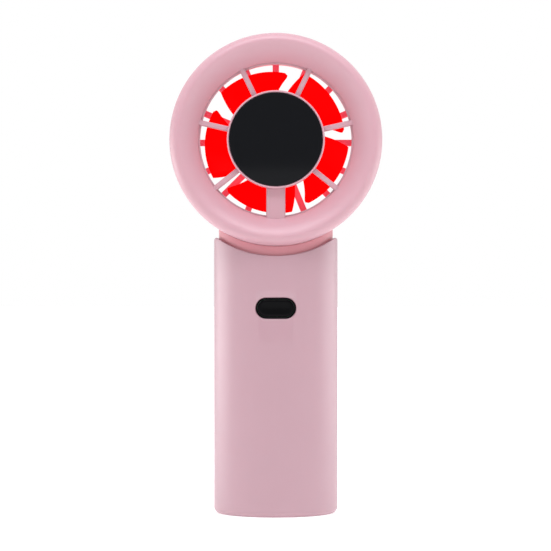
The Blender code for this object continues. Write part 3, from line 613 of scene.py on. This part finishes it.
def make_housing():
    funnel = quarter((REAR_CREST_RADIUS, INTAKE_BEND_Y),
                     (REAR_CREST_RADIUS - GUARD_SEAT_RADIUS, REAR_CREST_Y - INTAKE_BEND_Y),
                     180, 90)
    outside = [(GUARD_SEAT_RADIUS, GUARD_SEAT_Y), *funnel, *housing_outline()[1:]]
    inside = offset(outside, HOUSING_WALL)
    profile = [
        (DUCT_RADII[0], DUCT_FRONT_Y),
        (DUCT_RADII[1], GUARD_SEAT_Y),
        *outside,
        *reversed(inside[1:]),
        (GUARD_SEAT_RADIUS + HOUSING_WALL, GUARD_SEAT_Y - HOUSING_WALL),
        (DUCT_RADII[1] + HOUSING_WALL, GUARD_SEAT_Y - HOUSING_WALL),
        (DUCT_RADII[0] + HOUSING_WALL, DUCT_FRONT_Y),
    ]
    shell = skin("rear_shell", turned_rows(softened(profile, 0.25, turn=40)), wrap=True)
    sinks = []
    low, high = WELL_Y
    tube = [(SINK_RADIUS, high), (WELL_RADIUS, high), (WELL_RADIUS, low), (SINK_RADIUS, low)]
    for number, degrees in enumerate(HOUSING_SCREW_ANGLES):
        angle = math.radians(degrees)
        spot = (HOUSING_SCREW_RADIUS * math.cos(angle),
                HEAD_Z + HOUSING_SCREW_RADIUS * math.sin(angle))
        sinks.append(rod(f"sink_{number}", SINK_RADIUS, SINK_Y, spot))
        well = skin(f"well_{number}", turned_rows(tube, SMALL, spot), wrap=True)
        show(well, "head", "body", "rear_housing", slot="pink")
    show(carve(shell, *sinks), "head", "body", "rear_housing", slot="pink")


def bar(name, width, radii, y, degrees, radius):
    """A straight radial bar with rolled edges."""
    made = rounded_block(name, radii, y, (HEAD_Z - width / 2, HEAD_Z + width / 2), radius)
    return turn_about_head(made, degrees)


def make_guard():
    low, high = GUARD_Y
    outer = GUARD_SEAT_RADIUS - SEAM_GAP
    inner = DUCT_RADII[1]
    rim = softened([(inner, high), (outer, high), (outer, low), (inner, low)], 0.3)
    pieces = [skin("guard_rim", turned_rows(rim), wrap=True)]
    dome = softened([(0.0, high), (GUARD_HUB_RADIUS * 0.55, high - 0.02),
                     (GUARD_HUB_RADIUS, high - 0.25), (GUARD_HUB_RADIUS, low), (0.0, low)],
                    0.35, closed=False)
    pieces.append(skin("guard_hub", turned_rows(dome)))
    reach = (GUARD_HUB_RADIUS - 0.8, inner + 0.5)  # into the hub, and into the rim
    for i in range(RIB_COUNT):
        pieces.append(bar(f"rib_{i}", RIB_WIDTH, reach, (low + 0.05, high - 0.1),
                          360 * i / RIB_COUNT, 0.45))
    show(gather("rear_guard_ribs", pieces), "rose", "body", "rear_guard")


# ---------------------------------------------------------------------------
# Front grille, plate and impeller
# ---------------------------------------------------------------------------


def make_grille():
    hub = [
        (0.0, HUB_FLOOR[1]),
        (HUB_BORE, HUB_FLOOR[1]),
        (HUB_BORE, HUB_Y[1]),
        (HUB_RADIUS, HUB_Y[1]),
        (HUB_RADIUS, HUB_Y[0]),
        (PLATE_RADIUS + PLATE_GAP, HUB_Y[0]),
        (PLATE_RADIUS + PLATE_GAP, HUB_FLOOR[0]),
        (0.0, HUB_FLOOR[0]),
    ]
    pieces = [skin("hub", turned_rows(softened(hub, 0.22, closed=False)))]
    inner = DUCT_RADII[0]
    seat = softened([(inner, SEAT_Y[1]), (SEAT_RADIUS, SEAT_Y[1]), (SEAT_RADIUS, SEAT_Y[0]),
                     (inner, SEAT_Y[0])], 0.2)
    pieces.append(skin("seat", turned_rows(seat), wrap=True))
    for i in range(1, ARM_COUNT):
        degrees = 270 + 360 * i / ARM_COUNT
        pieces.append(bar(f"arm_{i}", ARM_WIDTH, (HUB_RADIUS - 0.7, ARM_END_RADIUS), ARM_Y,
                          degrees, 0.42))
        pieces.append(bar(f"foot_{i}", ARM_WIDTH - 0.1, FOOT_RADII, FOOT_Y, degrees, 0.2))
    half = WIDE_ARM_WIDTH / 2
    near, far = WIDE_ARM_RADII
    wide = rounded_block("wide_arm", (-half, half), (WIDE_ARM_FRONT_Y, ARM_Y[1]),
                         (HEAD_Z - far, HEAD_Z - near), 0.55, 4)
    near, far = LEAD_CHANNEL_RADII
    channel = rounded_block("channel", (-LEAD_CHANNEL / 2, LEAD_CHANNEL / 2), LEAD_CHANNEL_Y,
                            (HEAD_Z - far, HEAD_Z - near), 0.0)
    pieces.append(carve(wide, channel))
    show(gather("grille_spider", pieces), "head", "body", "front_grille", slot="pink")


def make_plate():
    front, back = extent("hub_plate")[0].y, extent("hub_plate")[1].y
    disc = softened([(0.0, back), (PLATE_RADIUS, back), (PLATE_RADIUS, front), (0.0, front)],
                    0.16, closed=False)
    show(skin("hub_disc", turned_rows(disc)), "black_gloss", "body", "hub_plate")


def blade_point(chord, span_share, number):
    """A point on a blade's middle surface.

    chord runs from 0 at the leading edge to 1 at the trailing edge, and span_share from 0 at
    the hub to 1 at the tip.
    """
    root = BLADE_ROOT_RADIUS
    tip = TIP_RADIUS[0] + (TIP_RADIUS[1] - TIP_RADIUS[0]) * chord
    radius = root + (tip - root) * span_share
    lead = LEADING_EDGE[0] + (LEADING_EDGE[1] - LEADING_EDGE[0]) * span_share
    trail = TRAILING_EDGE[0] + (TRAILING_EDGE[1] - TRAILING_EDGE[0]) * span_share
    angle = math.radians(lead + (trail - lead) * chord + 360 * number / BLADE_COUNT)
    y = BLADE_Y[0] + (BLADE_Y[1] - BLADE_Y[0]) * chord
    y += BLADE_CAMBER * math.sin(math.pi * chord)
    return Vector((radius * math.cos(angle), y, HEAD_Z + radius * math.sin(angle)))


def blade_normal(chord, span_share, number):
    """The direction square to a blade's middle surface."""
    step = 0.002
    along = blade_point(chord + step, span_share, number) - blade_point(
        chord - step, span_share, number)
    out = blade_point(chord, span_share + step, number) - blade_point(
        chord, span_share - step, number)
    return along.cross(out).normalized()


def blade(name, number):
    """A blade as loops round its section, from the hub out to a rounded tip.

    Each loop goes over one face and back over the other. The blade thins towards both
    edges, and near the tip its leading edge is pulled back.
    """
    shares = [0.5 - 0.5 * math.cos(math.pi * i / CHORD_STEPS) for i in range(CHORD_STEPS + 1)]
    rows = []
    for j in range(SPAN_STEPS + 1):
        span_share = j / SPAN_STEPS
        reach = max(0.0, (span_share - (1 - TIP_ROUNDING)) / TIP_ROUNDING)
        pull = TIP_PULL * (1 - math.sqrt(max(0.0, 1 - reach**2)))
        loop = []
        for side, ordered in ((1, shares), (-1, shares[-2:0:-1])):
            for share in ordered:
                chord = pull + (1 - pull) * share
                edge = min(share, 1 - share) * CHORD_STEPS
                thick = BLADE_THICKNESS / 2 * min(1.0, math.sqrt(max(edge, 0.0)) * 0.75)
                thick *= 1.0 if span_share < 1 else TIP_THINNING
                middle = blade_point(chord, span_share, number)
                loop.append(middle + blade_normal(chord, span_share, number) * thick * side)
        rows.append(loop)
    bm = skin(name, rows, bm=bmesh.new())
    bmesh.ops.holes_fill(bm, edges=bm.edges)
    return add(name, bm)


def make_impeller():
    inner = ROTOR_HUB_RADIUS - ROTOR_HUB_WALL
    front, rear = ROTOR_HUB_Y
    profile = [
        (ROTOR_BORE, rear),
        (ROTOR_HUB_RADIUS - ROTOR_CHAMFER, rear),
        (ROTOR_HUB_RADIUS, rear - ROTOR_CHAMFER),
        (ROTOR_HUB_RADIUS, front),
        (inner, front),
        (inner, ROTOR_FLOOR_Y),
        (ROTOR_BORE, ROTOR_FLOOR_Y),
    ]
    pieces = [skin("rotor_cup", turned_rows(softened(profile, 0.4)), wrap=True)]
    pieces += [blade(f"blade_{number}", number) for number in range(BLADE_COUNT)]
    show(gather("impeller_blades", pieces), "red_clear", "rotor", "impeller", sharp=60)


# ---------------------------------------------------------------------------
# Grip, neck and base
# ---------------------------------------------------------------------------


def oval_row(half_width, half_depth, height):
    """A loop of oval section. height is a number, or a function of x and y."""
    row = []
    for i in range(OVAL):
        angle = 2 * math.pi * i / OVAL
        x, y = half_width * math.cos(angle), half_depth * math.sin(angle)
        row.append(Vector((x, y, height(x, y) if callable(height) else height)))
    return row


def grip_row(inset, height):
    """A loop of the grip's section, drawn in by an inset."""
    return oval_row(GRIP_HALF_WIDTH - inset, GRIP_HALF_DEPTH - inset, height)


def scoop(drop=0.0):
    """The height of the grip's top edge, less a drop, with its two corners eased."""
    top = HEAD_Z - SCOOP_LOWEST + SCOOP_RADIUS
    def height(x, y):
        corner = max(0.0, abs(x) - GRIP_HALF_WIDTH + SCOOP_CORNER) / SCOOP_CORNER
        return top - math.sqrt(SCOOP_RADIUS**2 - x**2) - drop - CORNER_DROP * corner**3
    return height


def front_face(x):
    """The y of the grip's front surface at a given x."""
    share = x / GRIP_HALF_WIDTH
    return -GRIP_HALF_DEPTH * math.sqrt(1 - share**2)


def pill_loop(size, inset, y):
    """A pill-shaped loop about the button's centre. y is a number or a function of x."""
    length, height = size
    radius = max(height / 2 - inset, 0.0)
    reach = (length - height) / 2
    outline = []
    for side in (1, -1):
        for i in range(PILL_ARC_STEPS + 1):
            angle = -math.pi / 2 + math.pi * i / PILL_ARC_STEPS
            outline.append((side * (reach + radius * math.cos(angle)),
                            side * radius * math.sin(angle)))
        for i in range(1, PILL_FLAT_STEPS):
            outline.append((side * (reach - 2 * reach * i / PILL_FLAT_STEPS), side * radius))
    return [Vector((x, y(x) if callable(y) else y, BUTTON_Z + z)) for x, z in outline]


def make_grip():
    """The sleeve, in loops from inside its foot, up its outside and down to where it began."""
    rows = [grip_row(GRIP_WALL, 4.2), grip_row(BASE_LIP, 1.9), grip_row(BASE_LIP, 0.25),
            grip_row(BASE_LIP - 0.25, 0.0), grip_row(BASE_FILLET, 0.0)]
    for i in range(1, 13):
        angle = math.radians(90 - 90 * i / 12)
        rows.append(grip_row(BASE_FILLET * (1 - math.cos(angle)),
                             BASE_FILLET * (1 - math.sin(angle))))
    rows += [grip_row(0.0, z) for z in (10, 20, 30, 40, 50, 60, 70, 80, STRAIGHT_TOP)]
    for i in range(7):
        angle = math.radians(90 * i / 6)
        rows.append(grip_row(RIM_ROLL * (1 - math.cos(angle)),
                             scoop(RIM_ROLL * (1 - math.sin(angle)))))
    brim = GRIP_WALL + 0.31  # the rim rolls in until it meets the neck
    rows += [grip_row(brim - 0.2, scoop()), grip_row(brim, scoop(0.2)),
             grip_row(brim, scoop(1.2)), grip_row(GRIP_WALL, scoop(1.6)),
             grip_row(GRIP_WALL, STRAIGHT_TOP)]
    sleeve = skin("grip_shell", rows, wrap=True)

    hole = []  # the hole flares as it comes up to the grip's face
    for depth, flare in ((-2.0, 0.5), (-0.05, 0.5), (0.06, 0.34), (0.18, 0.2), (0.34, 0.12),
                         (0.5, 0.1), (5.0, 0.1)):
        size = (SURROUND_SIZE[0] + 2 * flare, SURROUND_SIZE[1] + 2 * flare)
        hole.append(pill_loop(size, 0.0, lambda x, depth=depth: front_face(x) + depth))
    bm = skin("button_hole", hole, bm=bmesh.new())
    bmesh.ops.holes_fill(bm, edges=bm.edges)
    show(carve(sleeve, add("button_hole", bm)), "pink", "body", "grip_sleeve")


def head_radius(y):
    """The head's outer radius at a given y, for the neck to follow."""
    outline = [*housing_outline(), *bezel_outline()[:SIDE_STEPS + BEND_STEPS]]
    for (r0, y0), (r1, y1) in zip(outline, outline[1:]):
        if y1 <= y <= y0:
            return r0 + (r1 - r0) * (y0 - y) / max(y0 - y1, 1e-6)
    return 0.0


def saddle(drop):
    """The neck's top surface, which follows the head, less a drop."""
    def height(x, y):
        radius = max(head_radius(y) + NECK_GAP, NECK_TOP_RADIUS)
        return HEAD_Z - math.sqrt(radius**2 - x**2) - drop
    return height


def make_neck():
    """The collar as one shell: its saddle, its side, its foot and its hollow."""
    rows = []
    for i in range(NECK_STEPS + 1):
        share = i / NECK_STEPS
        rows.append(oval_row((NECK_HALF_WIDTH - 0.3) * share, (NECK_HALF_DEPTH - 0.3) * share,
                             saddle(0.0)))
    rows.append(oval_row(NECK_HALF_WIDTH - 0.08, NECK_HALF_DEPTH - 0.08, saddle(0.1)))
    rows.append(oval_row(NECK_HALF_WIDTH, NECK_HALF_DEPTH, saddle(0.35)))
    rows.append(oval_row(NECK_HALF_WIDTH, NECK_HALF_DEPTH, NECK_BOTTOM_Z))
    inner = (NECK_HALF_WIDTH - NECK_WALL, NECK_HALF_DEPTH - NECK_WALL)
    rows.append(oval_row(*inner, NECK_BOTTOM_Z))
    for i in range(NECK_STEPS, -1, -1):
        rows.append(oval_row(inner[0] * i / NECK_STEPS, inner[1] * i / NECK_STEPS,
                             saddle(NECK_WALL)))
    show(skin("neck_saddle", rows), "neck", "body", "neck_collar", slot="rose")


def make_base():
    rows = [oval_row(0.01, 0.01, CAP_TOP)]
    for inset, z in ((CAP_INSET, CAP_TOP), (CAP_INSET, 0.25), (CAP_INSET + 0.08, 0.08),
                     (CAP_INSET + 0.25, 0.0)):
        rows.append(grip_row(inset, z))
    rows.append(oval_row(0.01, 0.01, 0.0))
    bm = skin("base_plate", rows, bm=bmesh.new())
    bmesh.ops.holes_fill(bm, edges=bm.edges)
    plate = add("base_plate", bm)
    cutters = [port_solid("port_cut", 0.4, (-1.0, 3.0))]
    cutters.append(port_solid("port_flare", 0.7, (-1.0, 0.3)))
    for side in (-1, 1):
        spot = (side * BASE_SCREW[0], BASE_SCREW[1])
        cutters.append(rod(f"sink_{side}", BASE_SINK_RADIUS, (-1.0, 1.2), spot, "Z"))
        cutters.append(rod(f"hole_{side}", BASE_HOLE_RADIUS, (0.5, 3.0), spot, "Z"))
    show(carve(plate, *cutters), "pink", "body", "base_cap")


def port_rows(grow, heights):
    """Loops of the port's section, grown by a margin, at the given heights."""
    low, high = PORT
    radius = (high.y - low.y) / 2 + grow
    reach = (high.x - low.x) / 2 + grow - radius
    middle = (low.y + high.y) / 2
    rows = []
    for z in heights:
        row = []
        for i in range(SMALL):
            angle = 2 * math.pi * (i + 0.5) / SMALL
            x = radius * math.cos(angle)
            row.append(Vector((x + math.copysign(reach, x), middle + radius * math.sin(angle),
                               z)))
        rows.append(row)
    return rows


def port_solid(name, grow, heights):
    bm = skin(name, port_rows(grow, heights), bm=bmesh.new())
    bmesh.ops.holes_fill(bm, edges=bm.edges)
    return add(name, bm)


def make_port():
    low, high = PORT
    top, bottom = high.z, low.z
    outer = port_rows(0.0, (top, bottom + 0.12))
    mouth = port_rows(-0.1, (bottom,)) + port_rows(-0.2, (bottom,))
    inner = port_rows(-0.3, (bottom + 0.15, top - 0.6))
    bm = skin("socket", [*outer, *mouth, *inner], bm=bmesh.new())
    bmesh.ops.holes_fill(bm, edges=bm.edges)
    show(add("usb_socket_shell", bm), "steel", "body", "usb_c_socket")
    low, high = extent("usb_c_tongue")
    tongue = rounded_block("usb_tongue", (low.x, high.x), (low.y, high.y), (low.z, high.z), 0.12)
    contacts = []
    for i in range(CONTACT_COUNT):
        x = low.x + (high.x - low.x) * (i + 0.5) / CONTACT_COUNT
        contacts.append(rounded_block(f"contact_{i}", (x - 0.13, x + 0.13),
                                      (low.y - 0.02, high.y + 0.02), (low.z + 0.5, low.z + 4.0),
                                      0.03, 1))
    show(tongue, "black_plastic", "body", "usb_c_tongue")
    show(gather("usb_contacts", contacts), "brass", "body", "usb_c_tongue")


def make_button():
    """The button's cap, a shell on the grip's curve, and the stem behind it."""
    stem_end = extent("power_button")[1].y
    back = stem_end - 0.5
    rows = [pill_loop(BUTTON_SIZE, BUTTON_SIZE[1] / 2, back), pill_loop(BUTTON_SIZE, 0.0, back)]
    for inset, depth in ((0.0, 0.30), (0.03, 0.17), (0.10, 0.07), (0.22, 0.02), (0.4, 0.0),
                         (1.0, 0.02), (1.7, 0.05), (2.4, 0.07), (BUTTON_SIZE[1] / 2, 0.08)):
        rows.append(pill_loop(BUTTON_SIZE, inset,
                              lambda x, depth=depth: front_face(x) + depth))
    show(skin("button_cap", rows), "button", "button", "power_button", slot="black_gloss")
    post = [(0.0, stem_end), (STEM_RADIUS, stem_end), (STEM_RADIUS, back - 0.1),
            (0.0, back - 0.1)]
    stem = turned_rows(softened(post, 0.1, closed=False), SMALL, (0.0, BUTTON_Z))
    show(skin("button_stem", stem), "button", "button", "power_button", slot="black_gloss")


def make_surround():
    wall = (SURROUND_SIZE[1] - SURROUND_BORE[1]) / 2
    flange = (SURROUND_SIZE[1] - FLANGE_SIZE[1]) / 2
    flange_back = extent("button_surround")[1].y
    flange_front = flange_back - FLANGE_THICKNESS
    front = [(0.0, 0.25), (0.03, 0.12), (0.12, 0.03), (wall / 2, 0.0), (wall - 0.1, 0.03),
             (wall - 0.02, 0.10), (wall, 0.22)]
    rows = [pill_loop(SURROUND_SIZE, inset, lambda x, depth=depth: front_face(x) + depth)
            for inset, depth in front]
    rows += [pill_loop(SURROUND_SIZE, wall, flange_back),
             pill_loop(SURROUND_SIZE, flange, flange_back),
             pill_loop(SURROUND_SIZE, flange, flange_front),
             pill_loop(SURROUND_SIZE, 0.0, flange_front)]
    show(skin("button_trim", rows, wrap=True), "button", "body", "button_surround",
         slot="black_gloss")


# ---------------------------------------------------------------------------
# Screws and the pieces inside
# ---------------------------------------------------------------------------


def make_screw(node, drive):
    """A pan-head screw with a cross recess, in the place of its CAD node.

    drive is the axis that it lies along, and inward points from its head to its tip.
    """
    low, high = extent(node)
    axis = {"Y": 1, "Z": 2}[drive]
    x = (low.x + high.x) / 2
    other = (low[3 - axis] + high[3 - axis]) / 2
    head = (high.x - low.x) / 2
    inward = -1 if node.startswith(("housing", "motor")) else 1
    crown = high[axis] if inward < 0 else low[axis]
    tip = low[axis] if inward < 0 else high[axis]
    shank = head * 0.45
    under = crown + inward * head * 0.62
    profile = [(0.0, crown), (head * 0.55, crown + inward * 0.06), (head, crown + inward * 0.5),
               (head, under), (shank, under), (shank, tip - inward * 0.8), (0.0, tip)]
    rows = []
    for radius, place in softened(profile, 0.15, closed=False):
        row = []
        for i in range(SMALL):
            angle = 2 * math.pi * i / SMALL
            across, up = radius * math.cos(angle), radius * math.sin(angle)
            if axis == 1:
                row.append(Vector((x + across, place, other + up)))
            else:
                row.append(Vector((x + across, other + up, place)))
        rows.append(row)
    made = skin(f"{node}_fine", rows)
    reach, half = head * 0.55, head * 0.13
    ends = sorted((crown - inward * 0.3, crown + inward * 0.55))
    for across in ((reach, half), (half, reach)):
        sides = ((x - across[0], x + across[0]), (other - across[1], other + across[1]))
        box = (sides[0], ends, sides[1]) if axis == 1 else (sides[0], sides[1], ends)
        carve(made, rounded_block("recess", *box, 0.0))
    return show(made, "steel", "body", node)


INNER_SHARP = 35  # degrees, for the CAD nodes that are shown as they are


def dress_inner_pieces(done):
    """Procedural materials on the CAD nodes that no fine piece stands for."""
    slots = {part["node"]: part["material_slot"] for part in frame["record"]["subparts"]}
    for name, node in frame["nodes"].items():
        if name in done:
            continue
        node.data.materials.clear()
        node.data.materials.append(LOOKS[slots[name]])
        node.data.shade_smooth()
        node.data.set_sharp_from_angle(angle=math.radians(INNER_SHARP))


# ---------------------------------------------------------------------------
# Studio
# ---------------------------------------------------------------------------

DIM_FRONT = 0.54  # the white surroundings' strength straight in front of the fan
FADE = (-1.0, 0.1)  # the Y of the directions between which it rises to full strength
FLOOR_REACH = 4000.0
FLOOR_COLOUR = (0.80, 0.80, 0.80)
FLOOR_GLOW = 0.70
SIDE_SOFTBOX = (0.46, 0.24)
TOP_SOFTBOX = (0.6, 0.3)
COOL_WHITE = (0.95, 0.95, 1.0)
CAMERA_PLACE = (-0.11, -620.0, 84.5)
CAMERA_LENS = 113.5
SENSOR_WIDTH = 36.0


def area_light(name, place, aim, size, power, colour=(1.0, 1.0, 1.0)):
    """A softbox: its place and aim in millimetres, its size in metres, its power in watts."""
    light = bpy.data.lights.new(name, "AREA")
    light.shape = "RECTANGLE"
    light.size, light.size_y = size
    light.energy = power
    light.color = colour
    made = bpy.data.objects.new(name, light)
    bpy.context.scene.collection.objects.link(made)
    made.location = Vector(place) * MM
    made.rotation_euler = (Vector(aim) - Vector(place)).to_track_quat("-Z", "Y").to_euler()
    return made


def make_white_world():
    """White all round, dimmer in front of the fan so that its shading shows.

    The camera itself sees the full white everywhere.
    """
    world = bpy.data.worlds.new("studio")
    world.use_nodes = True
    tree = world.node_tree
    background = tree.nodes["Background"]
    background.inputs["Color"].default_value = (1.0, 1.0, 1.0, 1.0)
    direction = tree.nodes.new("ShaderNodeTexCoord")
    parts = tree.nodes.new("ShaderNodeSeparateXYZ")
    dimmer = tree.nodes.new("ShaderNodeMapRange")
    dimmer.inputs["From Min"].default_value = FADE[0]
    dimmer.inputs["From Max"].default_value = FADE[1]
    dimmer.inputs["To Min"].default_value = DIM_FRONT
    dimmer.inputs["To Max"].default_value = 1.0
    link(tree, direction, "Generated", parts, "Vector")
    link(tree, parts, "Y", dimmer, "Value")
    rays = tree.nodes.new("ShaderNodeLightPath")
    brighter = tree.nodes.new("ShaderNodeMath")
    brighter.operation = "MAXIMUM"
    link(tree, dimmer, "Result", brighter, 0)
    link(tree, rays, "Is Camera Ray", brighter, 1)
    link(tree, brighter, "Value", background, "Strength")
    bpy.context.scene.world = world


def make_studio():
    """The white surroundings, the floor, three softboxes and the camera."""
    make_white_world()
    bm = bmesh.new()
    bmesh.ops.create_grid(bm, x_segments=1, y_segments=1, size=FLOOR_REACH)
    floor = add("floor", bm)
    floor.data.materials.append(surface("pale_floor", FLOOR_COLOUR, 0.7, vary=0.002,
                                        specular=0.1, bump=0.0, glow=FLOOR_GLOW))

    area_light("left_softbox", (-500, 110, 30), (0, 0, 30), SIDE_SOFTBOX, 1.1)
    area_light("right_softbox", (500, 110, 30), (0, 0, 30), SIDE_SOFTBOX, 0.68)
    area_light("top_softbox", (0, -230, 600), (0, 0, 110), TOP_SOFTBOX, 2.9, COOL_WHITE)

    scene = bpy.context.scene
    camera = bpy.data.cameras.new("camera")
    camera.lens = CAMERA_LENS
    camera.sensor_width = SENSOR_WIDTH
    camera.clip_start = 0.01
    camera.clip_end = 20.0
    holder = bpy.data.objects.new("camera", camera)
    scene.collection.objects.link(holder)
    holder.location = Vector(CAMERA_PLACE) * MM
    holder.rotation_euler = (math.pi / 2, 0.0, 0.0)
    scene.camera = holder
    scene.view_settings.view_transform = "Standard"
    scene.view_settings.look = "None"


def main():
    make_studio()
    make_bezel()
    make_housing()
    make_guard()
    make_grille()
    make_plate()
    make_impeller()
    make_grip()
    make_neck()
    make_base()
    make_port()
    make_button()
    make_surround()
    done = ["front_bezel", "rear_housing", "rear_guard", "front_grille", "hub_plate", "impeller",
            "grip_sleeve", "neck_collar", "base_cap", "usb_c_socket", "usb_c_tongue",
            "power_button", "button_surround"]
    for node in frame["nodes"]:
        if "_screw_" in node:
            drive = "Y" if node.startswith(("housing", "motor", "board")) else "Z"
            make_screw(node, drive)
            done.append(node)
    dress_inner_pieces(done)


main()
